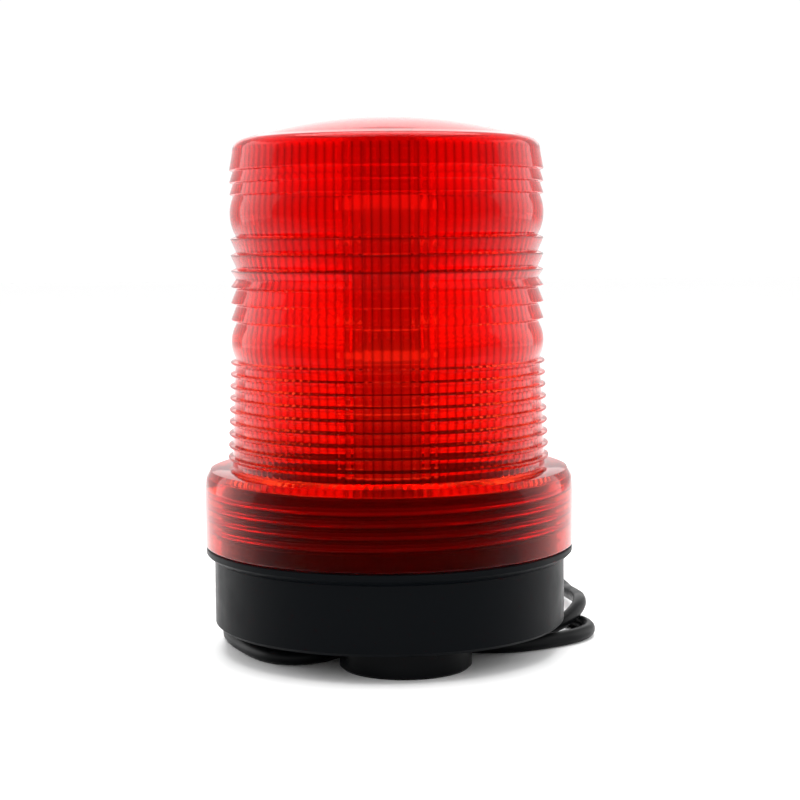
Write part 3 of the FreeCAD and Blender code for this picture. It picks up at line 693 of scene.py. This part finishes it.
@dataclass
class RedLens:
    """The screw-on lens: a ribbed, domed shell with a flat collar, a threaded skirt and inner flutes."""

    skirt_r: float = 50.0
    skirt_in_r: float = 47.5
    skirt_z: float = 28.6
    skirt_rounds: tuple[float, float, float] = (0.3, 0.25, 0.6)
    collar_top: float = 49.9
    collar_round: float = 6.08
    ceiling: float = 47.0
    seam_out_r: float = 46.0
    seam_in_r: float = 45.5
    inner_r: float = 39.4
    flute_heights: tuple[float, ...] = (60.0, 80.0, 100.0, 120.0, 130.0)
    flute_top: float = 134.6
    flute_scallop: float = 1.0
    flute_fade: float = 0.5
    fade_below: float = 1.0
    fade_rows: int = 9
    flute_depth: float = 0.2
    flutes: int = 106
    flute_samples: int = 4
    bead_z: float = 52.5
    bead_step: float = 3.19
    beads: int = 9
    bead_out: float = 1.1
    bead_half: float = 0.75
    bead_swell: float = 1.12
    bead_face: float = 0.42
    bead_rounds: tuple[float, float] = (0.15, 0.35)
    foot_r: float = 42.4
    foot_round: float = 0.5
    band_r: float = 41.2
    low_bulge_z: tuple[float, float, float] = (79.2, 83.5, 87.8)
    high_bulge_z: tuple[float, float] = (117.2, 122.3)
    tip_r: float = 42.15
    tip_round: float = 0.22
    valley_r: float = 40.7
    lean: float = 0.1
    rib_half: float = 0.7
    skirt_tips: tuple[float, float, float] = (89.5, 94.0, 98.3)
    crown_z: float = 100.4
    crown_round: float = 0.3
    crown_tips: tuple[float, float, float] = (102.6, 106.8, 111.1)
    top_tips: tuple[float, float, float] = (122.8, 126.0, 129.3)
    top_half: float = 0.4
    top_round: float = 0.154
    top_valley_r: float = 41.25
    # Each line of painted shade at a large rib is (height, strength)
    rib_painted_shades: tuple[tuple[float, float], ...] = ((111.0, 0.8), (106.7, 0.9), (102.5, 1.0), (98.4, 0.3))
    rib_painted_shade_half: float = 0.38
    # Strength of the painted shade between the flutes, and how far above the flutes' top it reaches
    flute_painted_shade_strength: float = 0.85
    flute_painted_shade_over: float = 0.3
    fine_step: float = 0.35
    fine_margins: tuple[float, float] = (1.0, 1.5)
    shoulder_r: float = 41.3
    shoulder_z: float = 134.0
    shoulder_bulge: tuple[float, float] = (0.95, 2.6)
    dome_edge_r: float = 38.0
    dome_r: float = 127.0
    dome_top: float = 143.5
    dome_wall: float = 2.3
    pole_r: float = 0.4
    # The inside's bend from wall to dome, as (radius, height), then a foot a little under the dome's inside
    roof_bend: tuple[tuple[float, float], ...] = ((39.2, 136.3), (38.4, 136.9))
    roof_foot_r: float = 37.2
    roof_foot_drop: float = 0.25
    roof_r: float = 35.6
    pitch: float = 3.0
    thread_z: float = 32.5
    thread_turns: float = 4.2
    thread_ease: float = 0.12
    thread_halves: tuple[float, float] = (0.8, 0.25)
    thread_bury: float = 0.3
    ridge_h: float = 1.7
    columns: int = 212
    arc_steps: tuple[int, int, int] = (12, 14, 10)
    dome_steps: int = 16
    roof_steps: int = 12

    def wall_r(self, z: float) -> float:
        """The wall between the beads leans in from the collar to the lower band."""
        share = (z - self.collar_top) / (self.low_bulge_z[0] - self.collar_top)
        return self.foot_r + (self.band_r - self.foot_r) * share

    def outside(self) -> np.ndarray:
        """The outer outline from the ceiling, round the skirt, up to the top of the dome."""
        inner_round, lip_round, edge_round = self.skirt_rounds
        low_steps, high_steps, shoulder_steps = self.arc_steps
        corners: list[tuple] = [
            (self.seam_out_r, self.ceiling, 0),
            (self.skirt_in_r, self.ceiling, inner_round),
            (self.skirt_in_r, self.skirt_z, lip_round),
            (self.skirt_r, self.skirt_z, edge_round),
            (self.skirt_r, self.collar_top, self.collar_round),
            (self.wall_r(self.collar_top), self.collar_top, self.foot_round),
        ]
        for k in range(self.beads):
            corners += self.bead(self.bead_z + self.bead_step * k)
        low, middle, high = self.low_bulge_z
        corners.append((self.band_r, low, 0))
        bulge = ((self.band_r, low), (self.tip_r, middle), (self.band_r - self.lean, high))
        corners += [(*p, 0) for p in arc_points(*bulge, low_steps)]
        for tip in self.skirt_tips:
            corners.append((self.valley_r, tip - self.rib_half, self.tip_round))
            corners.append((self.tip_r, tip, self.tip_round))
        corners.append((self.valley_r, self.crown_z, self.crown_round))
        for tip in self.crown_tips:
            corners.append((self.tip_r, tip, self.tip_round))
            corners.append((self.valley_r - self.lean, tip + self.rib_half, self.tip_round))
        middle, high = self.high_bulge_z
        bulge = (corners[-1][:2], (self.tip_r, middle), (self.top_valley_r, high))
        corners += [(*p, 0) for p in arc_points(*bulge, high_steps)]
        for tip in self.top_tips:
            corners.append((self.top_valley_r, tip - self.top_half, self.top_round))
            corners.append((self.tip_r, tip, self.tip_round))
        corners.append((self.shoulder_r, self.shoulder_z, 0))
        bulge = (
            (self.shoulder_r, self.shoulder_z),
            (self.shoulder_r - self.shoulder_bulge[0], self.shoulder_z + self.shoulder_bulge[1]),
            (self.dome_edge_r, self.dome_height(self.dome_edge_r)),
        )
        corners += [(*p, 0) for p in arc_points(*bulge, shoulder_steps)]
        dome = np.linspace(self.dome_edge_r, self.pole_r, self.dome_steps)[1:]
        corners += [(r, self.dome_height(r), 0) for r in dome]
        return self.finer(rounded_outline(corners))

    def bead(self, z: float) -> list[tuple]:
        """The four corners of the bead at a height, from its lower foot to its upper foot."""
        foot_round, face_round = self.bead_rounds
        low, high = z - self.bead_half, z + self.bead_half
        face = self.wall_r(z) + self.bead_out * self.bead_swell
        return [
            (self.wall_r(low), low, foot_round),
            (face, z - self.bead_half * self.bead_face, face_round),
            (face, z + self.bead_half * self.bead_face, face_round),
            (self.wall_r(high), high, foot_round),
        ]

    def finer(self, outline: np.ndarray) -> np.ndarray:
        """Splits the outline's sides in the band of large ribs, so that the painted shade lines there stay
        narrow.

        Args:
            outline: the outer outline, (radius, height) by row.

        Returns:
            The outline with points added at even steps along each side that was too long.
        """
        low, high = self.skirt_tips[0] - self.fine_margins[0], self.crown_tips[-1] + self.fine_margins[1]
        out = [outline[:1]]
        for start, end in zip(outline[:-1], outline[1:]):
            inside = low < start[1] < high and low < end[1] < high
            parts = max(1, math.ceil(np.linalg.norm(end - start) / self.fine_step)) if inside else 1
            share = np.arange(1, parts + 1)[:, None] / parts
            out.append(start + (end - start) * share)
        return np.concatenate(out)

    def dome_height(self, r: float) -> float:
        """The height of the dome's sphere at a radius: the top, less the sphere's drop."""
        return self.dome_top - self.dome_r + math.sqrt(self.dome_r**2 - r**2)

    def inside(self) -> tuple[np.ndarray, np.ndarray]:
        """The fluted inside, from the ceiling up and over to the dome's middle.

        At angle a and height z the radius is the wall's less depth times |sin(flutes a / 2)|, and the depth
        fades to nothing over the last half millimetre below a scalloped edge.
        """
        count = self.flutes * self.flute_samples
        angle = np.arange(count) * FULL_TURN / count
        wave = np.abs(np.sin(self.flutes * angle / 2))
        top = self.flute_top
        fade = np.linspace(top - self.fade_below, top + self.flute_scallop, self.fade_rows)
        wall = np.concatenate([[self.ceiling], self.flute_heights, fade])[:, None]
        edge = top + self.flute_scallop * (wave - 0.5)
        share = 1 - smooth_step((wall - edge + self.flute_fade) / self.flute_fade)
        fluted = self.inner_r - self.flute_depth * wave * share
        roof = np.linspace(self.roof_r, self.pole_r, self.roof_steps)
        over = [
            *self.roof_bend,
            (self.roof_foot_r, self.dome_height(self.roof_foot_r) - self.dome_wall - self.roof_foot_drop),
            *((r, self.dome_height(r) - self.dome_wall) for r in roof),
        ]
        over_r, over_z = np.array(over).T[:, :, None]
        flat = np.ones(count)
        radius = np.concatenate([self.seam_in_r * flat[None], fluted, over_r * flat])
        heights = np.concatenate([self.ceiling * flat[None], wall * flat, over_z * flat])
        points = np.stack([radius * np.cos(angle), radius * np.sin(angle), heights], axis=-1).reshape(-1, 3)
        return points, grid_faces(len(radius), count)[:, ::-1]

    def rib_painted_shade(self, points: np.ndarray) -> np.ndarray:
        """The painted shade at each large rib: a sum of narrow bell curves exp(-((z - z0) / w)^2) on the
        outside.
        """
        lines = np.array(self.rib_painted_shades)
        bells = lines[:, 1] * np.exp(-(((points[:, 2:3] - lines[:, 0]) / self.rib_painted_shade_half) ** 2))
        return np.clip(bells.sum(axis=1), 0, 1).astype(np.float32)

    def flute_painted_shade(self, points: np.ndarray) -> np.ndarray:
        """The painted shade between two flutes: (1 less |sin(flutes a / 2)|) squared, times its strength.

        It is 0 off the fluted wall.
        """
        angle = np.arctan2(points[:, 1], points[:, 0])
        share = (1 - np.abs(np.sin(self.flutes * angle / 2))) ** 2
        slack = 0.01
        beside = np.hypot(points[:, 0], points[:, 1]) > self.inner_r - self.flute_depth - slack
        below = points[:, 2] < self.flute_top + self.flute_painted_shade_over
        return np.where(beside & below, share * self.flute_painted_shade_strength, 0.0).astype(np.float32)

    def thread(self) -> tuple[np.ndarray, np.ndarray]:
        """The inner thread: a trapezoid section carried along a helix, its height easing in at both ends."""
        steps = int(self.columns * self.thread_turns)
        turn = np.linspace(0, self.thread_turns, steps + 1)
        ease = smooth_step(np.minimum(turn, self.thread_turns - turn) / self.thread_ease)
        root, crest = self.skirt_in_r + self.thread_bury, self.skirt_in_r - self.ridge_h
        root_half, crest_half = self.thread_halves
        rows = []
        for r, dz in ((root, -root_half), (crest, -crest_half), (crest, crest_half), (root, root_half)):
            radius = root + (r - root) * ease
            z = self.thread_z + self.pitch * turn + dz
            x = radius * np.cos(FULL_TURN * turn)
            y = radius * np.sin(FULL_TURN * turn)
            rows.append(np.stack([x, y, z], axis=-1))
        points = np.stack(rows, axis=1).reshape(-1, 3)
        faces = [tuple(f) for f in grid_faces(steps + 1, 4)]
        last = steps * 4
        return points, faces + [(0, 1, 2, 3), (last + 3, last + 2, last + 1, last)]

    def build(self, shop: Workshop) -> None:
        """Makes the lens and hides its plain CAD node."""
        outline = self.outside()
        points, faces = revolve(outline, self.columns)
        points, fan = self.poles(points, len(outline) - 1, self.columns)
        start = len(points)
        shell = [*map(tuple, faces), *fan, *self.seam(start)]
        count = self.flutes * self.flute_samples
        lining, faces = self.inside()
        lining, fan = self.poles(lining, len(lining) // count - 1, count, inward=True)
        shell += [tuple(int(v) + start for v in f) for f in [*map(tuple, faces), *fan]]
        lens = joined("red_lens", [(np.concatenate([points, lining]), shell), self.thread()])
        # Painted shade: dark lines at the large ribs outside and between the flutes inside, stored as a mesh
        # attribute
        painted_shade = np.zeros(len(lens.data.vertices), np.float32)
        painted_shade[:start] = self.rib_painted_shade(points)
        painted_shade[start : start + len(lining)] = self.flute_painted_shade(lining)
        lens.data.attributes.new("painted_shade", "FLOAT", "POINT").data.foreach_set("value", painted_shade)
        dress(lens, shop.material(RED_POLYCARBONATE))
        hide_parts("lens")
        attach(lens, "lens")
        LOG.info("red_lens: %d faces", len(lens.data.polygons))

    def seam(self, start: int) -> list[tuple]:
        """Joins the outer shell's first ring to the inner shell's first ring, which has twice as many points.

        Args:
            start: the number of the inner shell's first point.

        Returns:
            Three triangles for each step of the outer ring, facing down.
        """
        k = np.arange(self.columns)
        ahead = (k + 1) % self.columns
        even, odd, next_even = start + 2 * k, start + 2 * k + 1, start + 2 * ahead
        rows = [(k, even, odd), (k, odd, ahead), (ahead, odd, next_even)]
        return [tuple(f) for row in rows for f in np.stack(row, axis=1)]

    @staticmethod
    def poles(
        points: np.ndarray, row: int, columns: int, inward: bool = False
    ) -> tuple[np.ndarray, list[tuple]]:
        """Closes a revolved surface's last row with a fan round one point on the axis.

        Args:
            points: the surface's points, row by row.
            row: the number of the last row.
            columns: the points in a row.
            inward: whether the surface faces the axis.

        Returns:
            The points with the pole added, and the fan's faces.
        """
        ring = points[row * columns :]
        pole = np.array([[0.0, 0.0, ring[:, 2].mean()]])
        start = row * columns
        fan = [(start + k, start + (k + 1) % columns, len(points)) for k in range(columns)]
        if inward:
            fan = [f[::-1] for f in fan]
        return np.concatenate([points, pole]), fan


# ------------------------------------------------------------------ LED tower


@dataclass
class LedTower:
    """The LED packages: a white cup with a resin window on each, in two columns on every board."""

    tiers: int = 5
    faces: int = 6
    rows: int = 3
    top: float = 134.8
    tier_pitch: float = 17.75
    shelf: float = 1.0
    front: float = 9.8
    column_x: float = 3.0
    width: float = 2.8
    height: float = 3.0
    depth: float = 0.8
    turn: float = 8.0
    crease: float = 20.0
    # Each ring of a package is (half size, depth), both as shares of the whole
    rings: tuple[tuple[float, float], ...] = ((0.5, 0.0), (0.5, 0.82), (0.45, 1.0), (0.37, 1.0), (0.33, 0.78))

    def package(self) -> tuple[np.ndarray, list[tuple], list[int]]:
        """One package facing -Y about its own centre: a box with a bevelled front rim and a sunk window.

        Returns:
            Points, faces, and the number of the material of each face: 0 the cup, 1 the resin.
        """
        corners = np.array([(-1, -1), (1, -1), (1, 1), (-1, 1)], float)
        points = []
        for half, out in self.rings:
            x = corners[:, 0] * half * self.width
            z = corners[:, 1] * half * self.height
            y = np.full(4, -out * self.depth)
            points.append(np.stack([x, y, z], axis=-1))
        grid = np.concatenate(points)
        faces = [tuple(f) for f in grid_faces(len(self.rings), 4)]
        kinds = [0] * (len(faces) + 1) + [1]
        last = (len(self.rings) - 1) * 4
        faces += [(3, 2, 1, 0), (last, last + 1, last + 2, last + 3)]
        return grid, faces, kinds

    def tier(self, index: int, shop: Workshop) -> None:
        """All the packages of one tier in one piece, which stands for the tier's plain CAD node."""
        base, base_faces, kinds = self.package()
        low = self.top - self.tier_pitch * (index + 1) + self.shelf
        step = (self.tier_pitch - self.shelf) / self.rows
        places = [
            (x, low + step * (row + 0.5), face)
            for face in range(self.faces)
            for row in range(self.rows)
            for x in (-self.column_x, self.column_x)
        ]
        parts = []
        for x, z, face in places:
            angle = math.radians(self.turn + 360 / self.faces * face)
            local = base + (x, -self.front, z)
            rotated = np.stack(
                [
                    local[:, 0] * math.cos(angle) - local[:, 1] * math.sin(angle),
                    local[:, 0] * math.sin(angle) + local[:, 1] * math.cos(angle),
                    local[:, 2],
                ],
                axis=-1,
            )
            parts.append((rotated, base_faces))
        piece = joined("led_packages_" + str(index + 1), parts, self.crease)
        piece.data.materials.append(shop.material(LED_CUP))
        piece.data.materials.append(shop.material(LED_RESIN))
        piece.data.polygons.foreach_set("material_index", kinds * len(places))
        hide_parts("leds_" + str(index + 1))
        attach(piece, "base")

    def build(self, shop: Workshop) -> None:
        """Makes the packages of every tier."""
        for index in range(self.tiers):
            self.tier(index, shop)
        LOG.info("led packages: %d tiers", self.tiers)


# ------------------------------------------------------------------ lead


@dataclass
class Lead:
    """The two-core lead: along its hand-laid route, round the tied coil, and out to the plug."""

    diameter: float = 4.0
    length_m: float = 1.55
    gland_angle: float = 75.0
    gland_r: float = 67.6
    gland_z: float = 15.0
    coil_x: float = 9.0
    coil_y: float = 98.0
    outer_r: float = 24.0
    inner_r: float = 20.0
    first_layer: float = 3.0
    steps: int = 18
    # Where in a turn the coil changes column, changes column while it climbs, and climbs: (start, span)
    cross: tuple[float, float] = (0.66, 0.12)
    cross_climbing: tuple[float, float] = (0.72, 0.2)
    climb: tuple[float, float] = (0.76, 0.14)
    route: list[tuple[float, float, float]] = field(
        default_factory=lambda: [
            (19.8, 73.6, 14.8),
            (25.4, 80.2, 13.4),
            (33.6, 82.8, 11.0),
            (42.0, 80.4, 8.2),
            (48.2, 74.2, 5.8),
            (51.6, 65.6, 4.2),
            (53.0, 56.4, 3.9),
            (53.6, 46.6, 4.5),
            (54.4, 36.6, 5.6),
            (54.7, 27.0, 6.6),
            (53.7, 16.8, 6.6),
            (49.4, 8.6, 4.4),
            (42.4, 3.4, 2.3),
            (33.6, 0.2, 2.0),
            (23.6, -4.1, 2.0),
            (13.0, -3.2, 2.0),
            (4.1, 3.0, 2.0),
            (-0.4, 12.8, 2.0),
            (0.5, 23.6, 2.0),
            (6.7, 32.4, 2.0),
            (16.5, 37.0, 2.0),
            (27.3, 36.0, 2.0),
            (36.0, 31.2, 2.0),
            (43.6, 26.2, 2.0),
            (50.2, 20.8, 2.0),
            (54.9, 14.2, 2.0),
            (55.6, 6.2, 2.0),
            (51.6, -1.0, 2.0),
            (45.4, -6.0, 2.0),
            (38.2, -10.8, 2.0),
            (29.8, -13.8, 2.0),
            (20.4, -12.4, 2.0),
            (11.3, -6.2, 2.0),
            (0.8, -4.9, 2.0),
            (-8.6, -9.2, 2.0),
            (-13.6, -16.6, 2.0),
            (-18.4, -23.2, 2.0),
            (-24.9, -25.7, 2.0),
            (-31.4, -23.3, 2.0),
            (-36.4, -16.4, 2.0),
            (-40.6, -7.4, 2.0),
            (-44.0, 1.8, 2.0),
            (-45.2, 11.4, 2.0),
            (-42.6, 20.6, 2.0),
            (-37.2, 29.0, 2.0),
            (-30.4, 37.2, 2.0),
            (-24.4, 46.2, 2.0),
            (-20.0, 56.0, 2.0),
            (-17.2, 66.0, 2.0),
            (-15.6, 75.4, 2.0),
            (-15.1, 83.6, 2.3),
            (-15.0, 90.6, 3.0),
        ]
    )
    tail: list[tuple[float, float, float]] = field(
        default_factory=lambda: [
            (-15.0, 106.6, 15.0),
            (-15.2, 114.4, 13.9),
            (-15.1, 123.2, 9.8),
            (-15.2, 132.2, 5.4),
            (-15.1, 141.0, 2.6),
            (-15.2, 149.4, 2.0),
            (-20.2, 156.8, 2.0),
            (-28.8, 159.6, 2.4),
            (-37.3, 156.6, 4.4),
            (-42.5, 149.3, 7.8),
            (-42.7, 141.4, 11.0),
            (-42.6, 134.0, 12.0),
        ]
    )

    def exit_point(self) -> tuple[float, float, float]:
        """Where the lead leaves the end of the gland's strain relief."""
        angle = math.radians(self.gland_angle)
        return (self.gland_r * math.cos(angle), self.gland_r * math.sin(angle), self.gland_z)

    def turns(self) -> np.ndarray:
        """The coil's turns, two columns wide, wound clockwise from the west point.

        The plan has (column, layer) at the start of each turn and at the end of the last. Columns and layers
        lie one diameter apart.
        """
        plan = [(0, 0), (1, 0), (1, 1), (0, 1), (0, 2), (1, 2), (0, 3), (0, 3)]
        points = []
        for start, end in zip(plan, plan[1:]):
            share = (np.arange(self.steps) + 0.5) / self.steps
            first, span = self.cross if start[1] == end[1] else self.cross_climbing
            sideways = smooth_step((share - first) / span)
            upwards = smooth_step((share - self.climb[0]) / self.climb[1])
            column = start[0] + (end[0] - start[0]) * sideways
            layer = start[1] + (end[1] - start[1]) * upwards
            radius = self.outer_r + (self.inner_r - self.outer_r) * column
            radius = radius / math.cos(math.pi / self.steps)
            angle = math.pi - FULL_TURN * share
            x = self.coil_x + radius * np.cos(angle)
            y = self.coil_y + radius * np.sin(angle)
            z = self.first_layer + self.diameter * layer
            points.append(np.stack([x, y, z], axis=-1))
        return np.concatenate(points)

    def build(self, shop: Workshop) -> None:
        points = np.concatenate([[self.exit_point()], self.route, self.turns(), self.tail]) * MM
        curve = bpy.data.curves.new("lead", "CURVE")
        curve.dimensions = "3D"
        curve.bevel_depth = self.diameter / 2 * MM
        curve.bevel_resolution = 5
        curve.resolution_u = 6
        curve.use_fill_caps = True
        spline = curve.splines.new("NURBS")
        spline.points.add(len(points) - 1)
        spline.points.foreach_set("co", np.concatenate([points, np.ones((len(points), 1))], axis=1).ravel())
        spline.order_u = 3
        spline.use_endpoint_u = True
        lead = bpy.data.objects.new("lead", curve)
        bpy.context.scene.collection.objects.link(lead)
        curve.materials.append(shop.material(BLACK_PVC))
        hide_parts("cord_lead", "cord_coil", "cord_tail")
        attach(lead, "base")
        LOG.info("lead: %d route points", len(points))


# ------------------------------------------------------------------ the rest of the CAD nodes


def dress_nodes(shop: Workshop) -> None:
    """Gives every CAD node its finish, by the longest name that its own name starts with."""
    for name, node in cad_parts.items():
        keys = [k for k in NODE_FINISHES if name.startswith(k)]
        if keys:
            dress(node, shop.material(NODE_FINISHES[max(keys, key=len)]))
            LOG.info("%s: %s", name, NODE_FINISHES[max(keys, key=len)].name)


def main() -> None:
    """Builds the studio, then each sub-assembly, and reports the pieces."""
    logging.basicConfig(level=logging.INFO, format="%(name)s %(message)s")
    shop = Workshop()
    Studio().build()
    Lead().build(shop)
    dress_nodes(shop)
    RedLens().build(shop)
    LedTower().build(shop)


if __name__ == "__main__":
    main()
